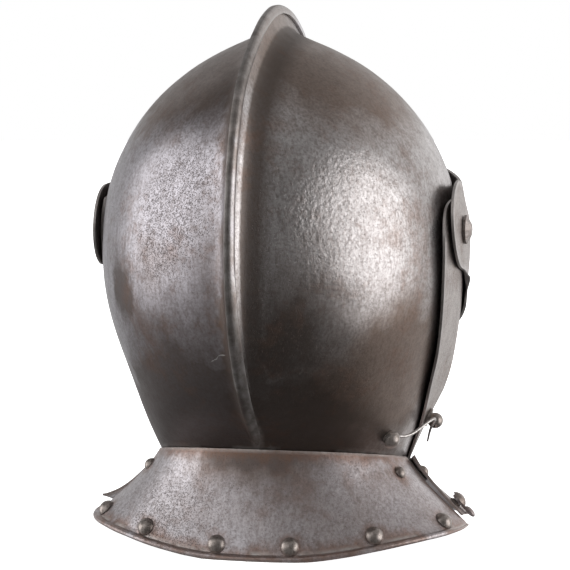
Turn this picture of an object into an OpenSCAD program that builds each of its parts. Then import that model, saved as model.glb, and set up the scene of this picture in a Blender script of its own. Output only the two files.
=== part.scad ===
// Close helmet: two-piece combed skull, visor and bevor on shared bolts, hinged neck collar.
// Z is up, the face looks along -Y, and the wearer's left is +X. The foot of the collar is at z = 0.

/* [Skull] */
// Width of the skull over its sides, at the bolts
skull_w = 212; // [208:1:216]
// Height of the bolts above the foot
pivot_h = 187; // [183:1:191]
// Distance of the bolts behind the middle of the helmet's length
pivot_back = 9; // [0:0.5:20]
// Distance from the bolts to the brow, below the comb
brow_r = 114.5; // [112:0.5:116]
// Distance from the bolts to the crown, below the comb
crown_r = 115.7; // [113:0.1:117]
// Distance from the bolts to the back of the skull
back_r = 129; // [126:0.5:133]
// Distance from the bolts to the nape
nape_r = 136; // [134:0.5:138]
// Thickness of the plates
plate_t = 1.5; // [1.2:0.1:1.8]

/* [Comb] */
// Height of the comb over the crown
comb_h = 17; // [14:0.5:18]
// Width of the sweep from the skull into each side of the comb
comb_w = 13; // [9:0.5:16]
// Depth of the left half's edge where it is folded over the right half
fold_w = 5; // [3:0.5:6]

/* [Neck] */
// Half of the neck's width
neck_half = 74; // [72:0.5:77]
// Half of the neck's length
neck_len = 72; // [70:0.5:75]
// Distance of the neck's middle in front of the bolts
neck_fwd = 8; // [5:0.5:10]
// Depth of the neck line below the bolts
neck_drop = 137; // [134:0.5:139]

/* [Collar] */
// Width of the collar across its edge
collar_w = 226; // [216:1:232]
// Distance from the bolts to the collar's back edge
collar_back = 80; // [76:1:86]
// Distance from the bolts to the collar's front edge
collar_front = 108; // [100:1:116]
// Lift of the collar's edge at the sides
collar_lift = 10; // [7:0.5:12]
// Radius of the rolled edge
roll_r = 1.8; // [1.5:0.1:2.2]
// Gap by which the front collar's right rear corner is bent out at the neck
neck_corner_out = 2.5; // [0:0.5:3]
// Gap by which the front collar's left rear corner is bent out at its edge
edge_corner_out = 5; // [0:0.5:6]

/* [Visor and bevor] */
// Distance from the bolts to the bevor's chin
chin_r = 153; // [151:0.5:154]
// Distance of the visor's prow in front of the chin
prow_out = 12; // [10:0.5:14]
// How much further forward the bevor's rear edge stands on the wearer's left
left_edge_fwd = 22; // [0:1:24]
// Radius of the visor's round ends over the bolts
lobe_r = 25; // [23:0.5:27]
// Height of the keel at the top of the visor, which passes over the comb
keel_h = 20; // [19:0.5:24]
// Half of the keel's width
keel_w = 22; // [20:0.5:26]
// Height of the sights
sight_h = 6; // [5:0.5:8]
// Length of each sight
sight_w = 48; // [40:1:52]
// Diameter of each breathing hole
breath_d = 5; // [4:0.5:6]
// Distance between breathing holes
breath_pitch = 9; // [8:0.5:11]

/* [Fasteners] */
// Diameter of the temple bolts
bolt_d = 6; // [5:0.5:7]
// Width of the temple bolts' heads
bolt_head_w = 17; // [15:0.5:18]
// Height of the temple bolts' heads
bolt_head_h = 4.5; // [3:0.5:6]
// Width of the square nuts
nut_w = 14; // [12:0.5:16]
// Thickness of the square nuts
nut_t = 4; // [3:0.5:5]
// Diameter of the lining rivets' heads
lining_rivet_d = 11; // [9:0.5:12]
// Diameter of the joint rivets' heads
joint_rivet_d = 8; // [6:0.5:9]
// Diameter of every rivet's shank
rivet_shank_d = 3.2; // [2.6:0.1:3.6]
// Thickness of the leather bands
strap_t = 1.8; // [1.2:0.1:2.4]
// Width of the leather bands
strap_w = 13; // [10:0.5:15]
// Thickness of the washers
washer_t = 1; // [0.8:0.1:1.4]
// Height of the lifting peg
peg_h = 16; // [12:0.5:20]

/* [Closing hook and catch] */
// Diameter of the hook's wire
wire_d = 2; // [1.8:0.1:2.4]
// Diameter of the hook rivet's head
hook_rivet_d = 11; // [10:0.5:13]
// Diameter of the pierced stud
eye_d = 9.5; // [8:0.5:10]
// Height of the pierced stud
eye_h = 8; // [7:0.5:9]
// Diameter of the hole in the pierced stud
eye_hole_d = 3.6; // [3:0.2:4]
// Diameter of the catch rivet's head
catch_rivet_d = 11; // [9:0.5:12]
// Length of the catch, from its rivet to its tip
catch_len = 14; // [13:0.5:17]
// Width of the catch
catch_w = 8; // [7:0.5:10]
// Thickness of the catch
catch_t = 1.6; // [1.2:0.1:2]

/* [Clearances] */
// Gap between plates that turn over each other
layer_gap = 0.7; // [0.6:0.1:1]
// Gap between plates that are riveted together
snug = 0.1; // [0.05:0.05:0.15]
// Radial gap round a bolt or rivet
run_gap = 0.1; // [0.06:0.01:0.1]
// Gap under a rivet's head, where the plate curves
head_gap = 0.2; // [0.15:0.05:0.3]

/* [Hidden] */
$fn = 48;

iron = [0.30, 0.27, 0.26];
dark_iron = [0.20, 0.18, 0.18];
warm_iron = [0.42, 0.36, 0.33];
bright_iron = [0.55, 0.53, 0.52];
leather = [0.33, 0.20, 0.12];

skull_half = skull_w / 2;
bevor_half = skull_half + layer_gap + plate_t;
visor_half = bevor_half + layer_gap + plate_t;
hug_gap = layer_gap + plate_t;
front_grow = 1.25 * hug_gap;
neck_slope = 0.19;
neck_widen = 0.42;
slice_low = 14;
slice_top = 62;
shell_e = 0.6;
fin_x = plate_t + snug / 2;
foot_cut = 0.5;
cut_reach = 14;
peen_h = 0.7;
peen_out = 1.4;
dome_share = 0.36;
washer_d = 8;
rivet_inset = lining_rivet_d / 2 + roll_r + 0.3;
prow_r = chin_r + prow_out;
cheek_r = chin_r + 7;
bolt_washer_d = 2.5 * bolt_d;
foot_box = skull_w * 2;
flare = 1.2;
flange = 0.34;
mesh_step = 0.5;
bevor_range = 38;
hug_from = -50;
hug_full = 5;

// Plain helpers: ramps, curves through points, directions

function unit(v) = v / norm(v);

// Rises smoothly from 0 to 1 as x goes from a to b.
function ramp(x, a, b) =
    let (f = min(1, max(0, (x - a) / (b - a))))
    f * f * (3 - 2 * f);

// Smooth curve through [key, value] pairs.
function span(t, k, i = 0) = i >= len(t) - 2 || k < t[i + 1][0] ? i : span(t, k, i + 1);

function slope(t, i) =
    let (a = max(0, i - 1), b = min(len(t) - 1, i + 1))
    (t[b][1] - t[a][1]) / (t[b][0] - t[a][0]);

function along(t, k) =
    let (
        i = span(t, k),
        h = t[i + 1][0] - t[i][0],
        f = (k - t[i][0]) / h,
        g = 1 - f
    )
    (1 + 2 * f) * g * g * t[i][1] + f * g * g * h * slope(t, i)
    + f * f * (3 - 2 * f) * t[i + 1][1] - f * f * g * h * slope(t, i + 1);

// Side view: points are [y, z] from the bolts, and angles run from the face over the crown.
function turned(r, a) = [-r * cos(a), r * sin(a)];

function angle_of(p) =
    let (a = atan2(p[1], -p[0]))
    a < 0 ? a + 360 : a;

// Neck line and neck ring. The front plates' ring is larger by grow.
function neck_z(y) = -neck_drop + neck_slope * y;

function neck_point(y) = [y, neck_z(y)];

// Height of a side-view point above the neck line.
function above_neck(p) = p[1] - neck_z(p[0]);

neck_rear = neck_len - neck_fwd;
neck_front = -neck_len - neck_fwd - front_grow;

// Shells: the profile's radius, the roundness of the side, and the side's distance at [y, z]

face_low_y = -38;
bevor_low_y = -14;
skull_end = angle_of(neck_point(neck_rear));
skull_radii = [
    [0, brow_r], [34, brow_r], [62, crown_r - 1.7], [95, crown_r], [126, crown_r + 3.7],
    [145, back_r - 1.6], [172, back_r], [198, (back_r + nape_r) / 2 + 1.2], [225, nape_r],
    [skull_end, norm(neck_point(neck_rear))],
    [258, 162], [274, 182], [290, 182], [306, 160], [332, 128], [360, brow_r],
];
skull_powers = [
    [0, 2.4], [40, 2.1], [80, 1.95], [180, 2], [235, 2.5], [262, 2.2], [285, 2.1], [320, 2.6], [360, 3],
];

bevor_radii = [
    [0, cheek_r], [40, 150], [90, 140], [180, 140], [225, 150], [270, 190], [285, 196],
    [angle_of(neck_point(neck_front)), norm(neck_point(neck_front))],
    [308, chin_r + 6], [320, chin_r], [340, chin_r], [360, cheek_r],
];
bevor_powers = [[0, 3], [60, 2], [200, 2], [250, 2.4], [285, 3], [322, 3], [360, 3]];
bevor_edges = [[0, 0.68], [60, 0.6], [270, 0.6], [300, 0.62], [322, 0.7], [360, 0.68]];

visor_top_r = crown_r + plate_t + layer_gap + 0.3;
visor_radii = [
    [0, prow_r - 7], [8, prow_r - 19], [16, visor_top_r + 11], [24, visor_top_r],
    [38, visor_top_r + 2], [60, visor_top_r + 6], [90, 155], [180, 175], [225, 185], [270, 185], [300, 178],
    [324, chin_r + 4], [332, prow_r - 4], [342, prow_r], [352, prow_r - 1.5], [360, prow_r - 7],
];
visor_powers = [
    [0, 2.9], [20, 2.5], [45, 2.2], [90, 2.1], [180, 2.4], [225, 3], [270, 3], [315, 3], [360, 2.9],
];
visor_edges = [[0, 0.72], [16, 0.62], [24, 0.6], [90, 0.6], [270, 0.6], [315, 0.7], [345, 0.75], [360, 0.72]];

function side(half, radii, powers, e, p) =
    let (a = angle_of(p), q = norm(p) / along(radii, a))
    half * pow(max(0, 1 - pow(q, along(powers, a))), e);

// Angle at which a profile stands a given height above the neck line.
function angle_above(radii, height, lo, hi, n = 12) =
    let (mid = (lo + hi) / 2)
    n == 0 ? mid
    : above_neck(turned(along(radii, mid), mid)) > height
        ? angle_above(radii, height, mid, hi, n - 1)
        : angle_above(radii, height, lo, mid, n - 1);

// Low down, a shell's level slices are half ellipses that widen from the neck ring.
function slice(p, radii, lo, hi, grow) =
    let (
        d = above_neck(p),
        behind = p[0] > -neck_fwd,
        a = angle_above(radii, d, lo, hi),
        middle = turned(along(radii, a), a)[0],
        reach = behind == (middle > -neck_fwd) ? middle + neck_fwd : neck_len + grow + neck_widen * d
    )
    (neck_half + grow + neck_widen * d) * sqrt(max(0, 1 - pow((p[0] + neck_fwd) / reach, 2)));

function low_side(p, radii, lo, hi, grow, upper) =
    let (d = above_neck(p))
    d > slice_top ? upper
    : let (f = ramp(d, slice_low, slice_top)) slice(p, radii, lo, hi, grow) * (1 - f) + upper * f;

skull_side = function (p)
    low_side(p, skull_radii, 180, skull_end, 0, side(skull_half, skull_radii, skull_powers, shell_e, p));

// The skull's greatest side distance on the arc that a point of the bevor travels.
function swept_skull(p) =
    let (a = angle_of(p), r = norm(p))
    max([for (t = [0:bevor_range / 4:bevor_range]) skull_side(turned(r, a + t))]);

bevor_own = function (p)
    let (upper = side(bevor_half, bevor_radii, bevor_powers, along(bevor_edges, angle_of(p)), p))
    low_side(p, bevor_radii, 340, angle_of(neck_point(neck_front)), front_grow, upper);

// Towards its rear edge the bevor follows the skull.
bevor_side = function (p)
    p[0] < hug_from ? bevor_own(p)
    : let (own = bevor_own(p), hug = swept_skull(p) + hug_gap)
      own + (hug - own) * ramp(p[0], hug_from, hug_full);
visor_side = function (p) side(visor_half, visor_radii, visor_powers, along(visor_edges, angle_of(p)), p);

// Outlines in the side view
skull_start = 17;
comb_end = skull_end - 4.5;
fold_gap = 0.35;

function profile(radii, a0, a1, n = 30) =
    [for (i = [0:n]) let (a = a0 + (a1 - a0) * i / n) [i / n, turned(along(radii, (a + 360) % 360), a)]];

// A patch is [middle line, side edge, first edge, last edge].
skull_patch = [
    profile(skull_radii, skull_start, skull_end),
    [[0, [-45, 12]], [0.25, [-32, -22]], [0.5, [-28, -62]], [0.78, [-32, -106]], [1, neck_point(face_low_y)]],
    [[0, turned(brow_r, skull_start)], [0.4, [-86, 32]], [0.75, [-60, 25]], [1, [-45, 12]]],
    [[0, neck_point(neck_rear)], [1, neck_point(face_low_y)]],
];

bevor_top = -20;
bevor_rear_edge = [
    [0, [28, 17]], [0.08, [37, 8]], [0.2, [39.5, -8]], [0.42, [33, -43]], [0.66, [16, -80]],
    [0.8, [7, -100]], [0.92, [-9, -121]], [1, neck_point(bevor_low_y)],
];
left_edge_share = [[0, 0.7], [0.08, 1], [0.2, 1.15], [0.42, 1], [0.66, 0.72], [0.8, 0.58], [0.92, 0.3], [1, 0]];

// The bevor's outline, with its rear edge moved forward by a number of millimetres at the pivot.
function bevor_patch(fwd) = [
    profile(bevor_radii, bevor_top, angle_of(neck_point(neck_front)) - 360),
    [for (q = bevor_rear_edge) [q[0], q[1] - [fwd * along(left_edge_share, min(q[0], 0.999)), 0]]],
    [
        [0, turned(chin_r, bevor_top)], [0.25, [-104, -40]], [0.5, [-66, -20]],
        [0.7, [-38, 3]], [0.83, [-16, 16]], [0.92, [6 - 0.35 * fwd, 20]], [1, [28 - 0.7 * fwd, 17]],
    ],
    [[0, neck_point(neck_front)], [1, neck_point(bevor_low_y)]],
];

visor_low = -36;
visor_high = 24;
lobe_from = 255;
lobe_to = 95;

// The right end reaches further up and back than the left one.
right_lobe = [[lobe_to, 1.16], [135, 1.38], [155, 1.42], [195, 1.22], [225, 1.03], [lobe_from, 0.93]];
left_lobe = [[lobe_to, 1], [lobe_from, 1]];

function lobe_point(a, lobe) = turned(lobe_r * along(lobe, a), a);

function visor_patch(lobe) = [
    profile(visor_radii, visor_low, visor_high),
    [for (i = [0:8]) [i / 8, lobe_point(lobe_from + (lobe_to - lobe_from) * i / 8, lobe)]],
    [
        [0, turned(along(visor_radii, 360 + visor_low), visor_low)], [0.35, [-86, -74]], [0.6, [-52, -56]],
        [0.76, [-30, -43]], [0.83, [-24, -31]], [0.91, [-11, -25]], [1, lobe_point(lobe_from, lobe)],
    ],
    [
        [0, turned(visor_top_r, visor_high)], [0.3, [-76, 38]], [0.6, [-45, 30.5]],
        [0.8, [-22, 26.5]], [1, lobe_point(lobe_to, lobe)],
    ],
];

function on_patch(p, u, v) =
    (1 - u) * along(p[0], v) + u * along(p[1], v) + (1 - v) * along(p[2], u) + v * along(p[3], u)
    - (1 - u) * ((1 - v) * p[0][0][1] + v * p[0][len(p[0]) - 1][1])
    - u * ((1 - v) * p[1][0][1] + v * p[1][len(p[1]) - 1][1]);

// Share of the way from the middle line at which a shell's side is x wide.
function share_at(patch, shape, v, x, lo = 0, hi = 0.6, n = 13) =
    let (mid = (lo + hi) / 2)
    n == 0 ? mid
    : shape(on_patch(patch, mid, v)) > x
        ? share_at(patch, shape, v, x, lo, mid, n - 1)
        : share_at(patch, shape, v, x, mid, hi, n - 1);

// Grids: rows of points, the plate between an outer and an inner grid

function across(grid, i, j) =
    let (
        a = grid[i][max(0, j - 1)],
        b = grid[i][min(len(grid[i]) - 1, j + 1)],
        c = grid[max(0, i - 1)][j],
        d = grid[min(len(grid) - 1, i + 1)][j]
    )
    unit(cross(b - a, d - c));

function moved_in(grid, t) =
    [for (i = [0:len(grid) - 1]) [for (j = [0:len(grid[i]) - 1]) grid[i][j] - t * across(grid, i, j)]];

function two(a, b, c, d) = [[a, b, c], [a, c, d]];

module plate(outer, inner) {
    rows = len(outer);
    cols = len(outer[0]);
    n = rows * cols;
    last = (rows - 1) * cols;
    polyhedron(
        points = [for (grid = [outer, inner]) for (row = grid) each row],
        faces = [
            for (i = [0:rows - 2]) for (j = [0:cols - 2])
                let (a = i * cols + j)
                each two(a, a + cols, a + cols + 1, a + 1),
            for (i = [0:rows - 2]) for (j = [0:cols - 2])
                let (a = n + i * cols + j)
                each two(a, a + 1, a + cols + 1, a + cols),
            for (i = [0:rows - 2])
                let (a = i * cols)
                each two(a, a + n, a + n + cols, a + cols),
            for (i = [0:rows - 2])
                let (a = i * cols + cols - 1)
                each two(a, a + cols, a + n + cols, a + n),
            for (j = [0:cols - 2]) each two(j, j + 1, j + 1 + n, j + n),
            for (j = [0:cols - 2]) each two(last + j, last + j + n, last + j + 1 + n, last + j + 1),
        ]
    );
}

// Seats: a point on a shell's side and the direction that faces out of it

function side_seat(shape, p, hand) =
    let (
        x = shape(p),
        fy = (shape(p + [mesh_step, 0]) - shape(p - [mesh_step, 0])) / (2 * mesh_step),
        fz = (shape(p + [0, mesh_step]) - shape(p - [0, mesh_step])) / (2 * mesh_step),
        n = unit([1, -fy, -fz])
    )
    [[hand * x, p[0], p[1]], [hand * n[0], n[1], n[2]]];

module face(seat) {
    n = seat[1];
    translate(seat[0]) rotate([0, acos(n[2]), atan2(n[1], n[0])]) children();
}

module at_bolts() {
    translate([0, pivot_back, pivot_h]) children();
}

module bolt_holes() {
    rotate([0, 90, 0]) cylinder(d = bolt_d + 2 * run_gap, h = skull_w * 2, center = true);
}

module rivet_hole(seat, d = rivet_shank_d) {
    face(seat) cylinder(d = d + 2 * run_gap, h = 2 * cut_reach, center = true);
}

module cap(d, h) {
    r = (d * d / 4 + h * h) / (2 * h);
    intersection() {
        translate([0, 0, h - r]) sphere(r = r);
        cylinder(d = d + 1, h = h + 1);
    }
}

// A rivet stands on its seat: domed head outside, shank inwards, peened end.
module rivet(seat, head_d, depth, lift = head_gap) {
    face(seat) {
        translate([0, 0, lift]) cap(head_d, head_d * dome_share);
        translate([0, 0, -depth]) cylinder(d = rivet_shank_d, h = depth + lift + plate_t / 2);
        peened_end(-depth);
    }
}

// The end of a shank, spread over the washer or plate.
module peened_end(z) {
    translate([0, 0, z - peen_h]) cylinder(d1 = rivet_shank_d, d2 = rivet_shank_d + peen_out, h = peen_h);
}

module washer(seat, depth, d) {
    face(seat) translate([0, 0, -depth]) difference() {
        cylinder(d = d, h = washer_t);
        cylinder(d = rivet_shank_d + 2 * run_gap, h = 2 * cut_reach, center = true);
    }
}

// Skull

comb_share = [
    [0, 0.6], [34, 0.8], [62, 0.9], [95, 1], [130, 1], [160, 0.92], [180, 0.8],
    [210, 0.48], [228, 0.22], [comb_end, 0.14],
];

function comb_at(a) = a > comb_end ? 0 : comb_h * along(comb_share, a);

// Side of the comb at a depth below its rim.
function fin_side(depth, h) = fin_x + comb_w * pow(1 - sqrt(max(0, 1 - depth / h)), 2);

function lifted(x, p, h) =
    let (q = p + unit(p) * h)
    [x, q[0], q[1]];

function skull_row(v, folded) =
    let (
        m = on_patch(skull_patch, 0, v),
        h = comb_at(angle_of(m)),
        has_comb = h > 0,
        uw = share_at(skull_patch, skull_side, v, comb_w),
        x0 = has_comb ? fin_x : snug / 2,
        rim_drop = folded ? 0.9 : plate_t + snug,
        t0 = has_comb ? 1 - sqrt(1 - rim_drop / h) : 0,
        steps = 4,
        more = 11
    )
    [
        for (k = [0:steps])
            let (
                t = t0 + (1 - t0) * k / steps,
                p = on_patch(skull_patch, uw * pow(t, 2 / shell_e), v)
            )
            lifted(x0 + comb_w * t * t, p, h * (1 - t) * (1 - t)),
        for (k = [1:more])
            let (
                u = uw + (1 - uw) * pow(k / more, 1.15),
                p = on_patch(skull_patch, u, v),
                spread = x0 * pow(1 - k / more, 3)
            )
            [skull_side(p) + spread, p[0], p[1]],
    ];

skull_rows = 36;

// The flange under the collar carries on from the neck line, and dies out before the collar ends.
function skull_flange(row, s) =
    [for (p = row)
        let (
            a = atan2(p[0] / neck_half, (p[1] + neck_fwd) / neck_len),
            b = collar_point(a, 0, 0),
            q = collar_point(a, s * max(0.02, ramp(p[1], -12, 8)), 0)
        )
        p + q - b];

function skull_outer(folded) =
    let (
        rows = [for (i = [0:skull_rows]) skull_row(i / skull_rows, folded)],
        neck = rows[skull_rows]
    )
    concat(rows, [for (k = [1:3]) skull_flange(neck, flange * k / 3)]);

// The inner face is moved in by the plate's thickness, and stops at the middle of the comb.
function skull_inner(outer) =
    [for (row = moved_in(outer, plate_t)) [for (p = row) [max(snug / 2, p[0]), p[1], p[2]]]];

// Points of the folded edge, as [side, depth below the rim] outside and inside.
function fold_outer(h, w) = [
    [-fin_side(w, h) - plate_t - fold_gap, w],
    [-fin_side(w, h) - plate_t - fold_gap - 0.35, w * 0.55],
    [-fin_side(0.6, h) - plate_t * 0.75, 0.7],
    [-fin_x * 0.4, -0.2],
    [fin_x * 0.75, 0.1],
];
function fold_inner(h, w) = [
    [-fin_side(w, h) - fold_gap, w],
    [-fin_side(w * 0.6, h) - fold_gap, w * 0.65],
    [-fin_side(plate_t, h) - fold_gap, plate_t],
    [-fin_x * 0.3, plate_t],
    [snug / 2, plate_t],
];

function fold_row(points, v, row) =
    let (
        m = on_patch(skull_patch, 0, v),
        h = comb_at(angle_of(m)),
        w = min(fold_w, h * 0.55)
    )
    h > 0 ? [for (f = points(h, w)) lifted(f[0], m, h - f[1])] : [for (k = [1:5]) row[0]];

module skull_left_plate() {
    outer = skull_outer(true);
    inner = skull_inner(outer);
    folded = function (grid, points)
        [for (i = [0:len(grid) - 1])
            let (flat = [for (k = [1:5]) grid[i][0]])
            concat(i <= skull_rows ? fold_row(points, i / skull_rows, grid[i]) : flat, grid[i])];
    plate(
        folded(outer, function (h, w) fold_outer(h, w)),
        folded(inner, function (h, w) fold_inner(h, w))
    );
}

module skull_right_plate() {
    outer = skull_outer(false);
    mirror([1, 0, 0]) plate(outer, skull_inner(outer));
}

module skull_left() {
    color(iron) at_bolts() difference() {
        skull_left_plate();
        bolt_holes();
        rivet_hole(rear_seat(joint_angle, joint_share, 0));
    }
}

module skull_right() {
    color(iron) at_bolts() difference() {
        skull_right_plate();
        bolt_holes();
        rivet_hole(rear_seat(-joint_angle, joint_share, 0));
        rivet_hole(hook_seat);
    }
}

// Collar: flares from the neck ring (share 0) to its edge (share 1).
// Angles run from the back of the neck towards the wearer's left.

// Height of the edge at which the roll reaches below the foot. The plate leans out more in front.
function roll_low(a) = -pivot_h + roll_r - foot_cut - (0.5 - 0.2 * cos(a)) * (snug + roll_r);

function collar_edge(a, grow) =
    let (
        rear = cos(a) > 0,
        len = rear ? collar_back : collar_front,
        flat = rear ? 0.17 : 0.36
    )
    [
        (collar_w / 2 + grow) * sin(a),
        (len + grow) * cos(a),
        roll_low(a) + collar_lift * ramp(abs(sin(a)), flat, 1)
    ];

function collar_point(a, s, grow) =
    let (
        y = -neck_fwd + (neck_len + grow) * cos(a),
        ring = [(neck_half + grow) * sin(a), y, neck_z(y)],
        edge = collar_edge(a, grow),
        f = s <= 0 ? 0 : pow(s, flare)
    )
    [ring[0] + (edge[0] - ring[0]) * f, ring[1] + (edge[1] - ring[1]) * f, ring[2] + (edge[2] - ring[2]) * s];

// Direction out of the collar: across the sweep round the neck and the sweep down the flare.
function collar_out(a, s, grow) =
    let (
        t = max(s, 0.04),
        round_it = collar_point(a + 0.5, t, grow) - collar_point(a - 0.5, t, grow),
        down = collar_point(a, t + 0.02, grow) - collar_point(a, t - 0.02, grow)
    )
    unit(cross(down, round_it)) * -1;

function collar_down(a, s, grow) = unit(collar_point(a, s + 0.01, grow) - collar_point(a, s - 0.01, grow));

function collar_seat(a, s, grow, off) =
    [collar_point(a, s, grow) + off * collar_out(a, s, grow), collar_out(a, s, grow)];

function rear_seat(a, s, off) = collar_seat(a, s, 0, off);
function front_seat(a, s, off) = collar_seat(a, s, front_grow, off);

collar_outside = snug + plate_t;

// Share of the flare at a distance above the edge.
function share_above(a, grow, inset) =
    1 - inset / norm(collar_point(a, 1, grow) - collar_point(a, 0, grow));

joint_angle = 68;
joint_share = 0.23;
rear_rivet_angles = [-72, -39, -11.5, 11.5, 39, 72];
front_rivet_angles = [130, 146, 163, -163, -146, -130];
front_joint_angles = [101, 140, -140, -101];

roll_turns = [-60, -30, 0, 30, 60, 85];

collar_rows = 6;

// Stand-off of a bent corner: at the neck it fades evenly, at the edge it is short.
function stand_off(stand, s, s_end) = stand[0] * (1 - s) + stand[1] * pow(s / s_end, 7);

// One column of a collar, from its top to the tip of the roll, outside or inside.
// Curl runs from a plain edge (0) to the full roll (1). Stand is the stand-off at the neck and at the edge.
function collar_column(a, grow, outside, s_end, curl, stand) =
    let (
        r = plate_t / 2 + (roll_r - plate_t / 2) * curl,
        n = collar_out(a, s_end, grow),
        d = collar_down(a, s_end, grow),
        end = collar_point(a, s_end, grow) + n * (snug + stand_off(stand, s_end, s_end)),
        centre = end + n * r
    )
    [
        for (i = [0:collar_rows])
            let (
                s = s_end * i / collar_rows * 0.96,
                off = (outside ? collar_outside : snug) + stand_off(stand, s, s_end)
            )
            collar_point(a, s, grow) + collar_out(a, s, grow) * off,
        for (b = roll_turns)
            outside ? centre + (d * sin(b) + n * cos(b)) * r
            : b < 0 ? end + d * sin(b) * r
            : centre + (d * sin(b) - n * cos(b)) * r,
    ];

// Each column is [angle, share of the flare at which it ends, curl, stand].
module collar_plate(columns, grow) {
    plate(
        [for (c = columns) collar_column(c[0], grow, true, c[1], c[2], c[3])],
        [for (c = columns) collar_column(c[0], grow, false, c[1], c[2], c[3])]
    );
}

module foot_trim() {
    translate([0, 0, -pivot_h - foot_box / 2]) cube(foot_box, center = true);
}

// The rear collar's roll stops short of its right corner.
right_turn = 90;
left_turn = 92;
rear_roll_from = -77;
rear_roll_full = -70;
rear_steps = 26;
rear_columns =
    [for (i = [0:rear_steps])
        let (a = -right_turn + (left_turn + right_turn) * i / rear_steps)
        [a, 1, ramp(a, rear_roll_from, rear_roll_full), [0, 0]]];

module rear_collar() {
    color(warm_iron) at_bolts() difference() {
        collar_plate(rear_columns, 0);
        foot_trim();
        for (a = [-joint_angle, joint_angle]) rivet_hole(rear_seat(a, joint_share, 0));
        for (a = rear_rivet_angles) rivet_hole(rear_seat(a, share_above(a, 0, rivet_inset), 0));
    }
}

// The front collar's rear ends pass outside the rear collar and stop above its roll, with plain edges.
// Their bends are measured in degrees from the corners.
front_end = 0.85;
front_steps = 34;
end_rise = 30;
left_bend = 14;
right_bend = 7;
front_columns =
    [for (i = [0:front_steps])
        let (
            a = left_turn + (360 - right_turn - left_turn) * i / front_steps,
            off = abs(180 - a)
        )
        [
            a,
            front_end + (1 - front_end) * ramp(off, left_turn, left_turn - end_rise),
            ramp(off, 80, 72),
            a < 180 ? [0, edge_corner_out * ramp(a, left_turn + left_bend, left_turn)]
            : [neck_corner_out * ramp(a, 360 - right_turn - right_bend, 360 - right_turn), 0]
        ]];

module front_collar() {
    color(warm_iron) at_bolts() difference() {
        collar_plate(front_columns, front_grow);
        foot_trim();
        for (a = front_joint_angles) rivet_hole(front_seat(a, joint_share, 0));
        for (a = front_rivet_angles) rivet_hole(front_seat(a, share_above(a, front_grow, rivet_inset), 0));
        rivet_hole(catch_seat);
    }
}

module rear_joint_rivets() {
    color(dark_iron) at_bolts()
        for (a = [-joint_angle, joint_angle])
            rivet(rear_seat(a, joint_share, collar_outside), joint_rivet_d, 2 * plate_t + snug + 0.6);
}

module front_joint_rivets() {
    color(dark_iron) at_bolts()
        for (a = front_joint_angles)
            rivet(front_seat(a, joint_share, collar_outside), joint_rivet_d, 2 * plate_t + snug + 0.6);
}

// Lining: a leather band inside each collar, held by rivets with washers

strap_gap = 0.25;
lining_depth = plate_t + strap_gap + strap_t + 2 * head_gap + washer_t;

function strap_column(a, grow, depth) =
    let (
        mid = share_above(a, grow, rivet_inset),
        step = strap_w / norm(collar_point(a, 1, grow) - collar_point(a, 0, grow))
    )
    [for (k = [-1, 0, 1])
        let (s = mid + step * k / 2)
        collar_point(a, s, grow) - collar_out(a, s, grow) * depth];

module strap(angles, grow, rivet_angles) {
    difference() {
        plate(
            [for (a = angles) strap_column(a, grow, strap_gap)],
            [for (a = angles) strap_column(a, grow, strap_gap + strap_t)]
        );
        for (a = rivet_angles) rivet_hole(collar_seat(a, share_above(a, grow, rivet_inset), grow, 0));
    }
}

module rear_lining_strap() {
    color(leather) at_bolts() strap([for (i = [0:22]) -80 + 160 * i / 22], 0, rear_rivet_angles);
}

module front_lining_strap() {
    color(leather) at_bolts() strap([for (i = [0:22]) 123 + 114 * i / 22], front_grow, front_rivet_angles);
}

function lining_seat(a, grow) = collar_seat(a, share_above(a, grow, rivet_inset), grow, collar_outside);

module rear_lining_rivets() {
    color(dark_iron) at_bolts()
        for (a = rear_rivet_angles)
            rivet(lining_seat(a, 0), lining_rivet_d, snug + lining_depth + 0.5);
}

module front_lining_rivets() {
    color(dark_iron) at_bolts()
        for (a = front_rivet_angles)
            rivet(lining_seat(a, front_grow), lining_rivet_d, snug + lining_depth + 0.5);
}

module rear_lining_washers() {
    color(iron) at_bolts()
        for (a = rear_rivet_angles)
            washer(lining_seat(a, 0), snug + lining_depth, washer_d);
}

module front_lining_washers() {
    color(iron) at_bolts()
        for (a = front_rivet_angles)
            washer(lining_seat(a, front_grow), snug + lining_depth, washer_d);
}

// Temple bolts, from the visor's outside to a nut inside the skull

bolt_seat_x = visor_half + snug;
washer_drop = 1;
bolt_washer_x = skull_half - plate_t - washer_drop - washer_t;
nut_x = bolt_washer_x - snug - nut_t;

module pivot_bolt(hand) {
    color(dark_iron) at_bolts() rotate([0, hand * 90, 0]) {
        translate([0, 0, bolt_seat_x]) {
            cylinder(d = bolt_head_w, h = bolt_head_h * 0.35, $fn = 8);
            translate([0, 0, bolt_head_h * 0.35])
                cylinder(d1 = bolt_head_w, d2 = bolt_head_w * 0.4, h = bolt_head_h * 0.65, $fn = 8);
        }
        translate([0, 0, nut_x - 1.5]) cylinder(d = bolt_d, h = bolt_seat_x - nut_x + 2);
    }
}

module pivot_bolt_left() {
    pivot_bolt(1);
}

module pivot_bolt_right() {
    pivot_bolt(-1);
}

module pivot_washers() {
    color(iron) at_bolts()
        for (hand = [-1, 1]) rotate([0, hand * 90, 0]) translate([0, 0, bolt_washer_x]) difference() {
            cylinder(d = bolt_washer_d, h = washer_t);
            cylinder(d = bolt_d + 2 * run_gap, h = 2 * cut_reach, center = true);
        }
}

module pivot_nuts() {
    color(dark_iron) at_bolts()
        for (hand = [-1, 1]) rotate([0, hand * 90, 0]) translate([0, 0, nut_x]) difference() {
            translate([-nut_w / 2, -nut_w / 2, 0]) cube([nut_w, nut_w, nut_t]);
            cylinder(d = bolt_d + 2 * run_gap, h = 2 * cut_reach, center = true);
        }
}

// Bevor

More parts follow.
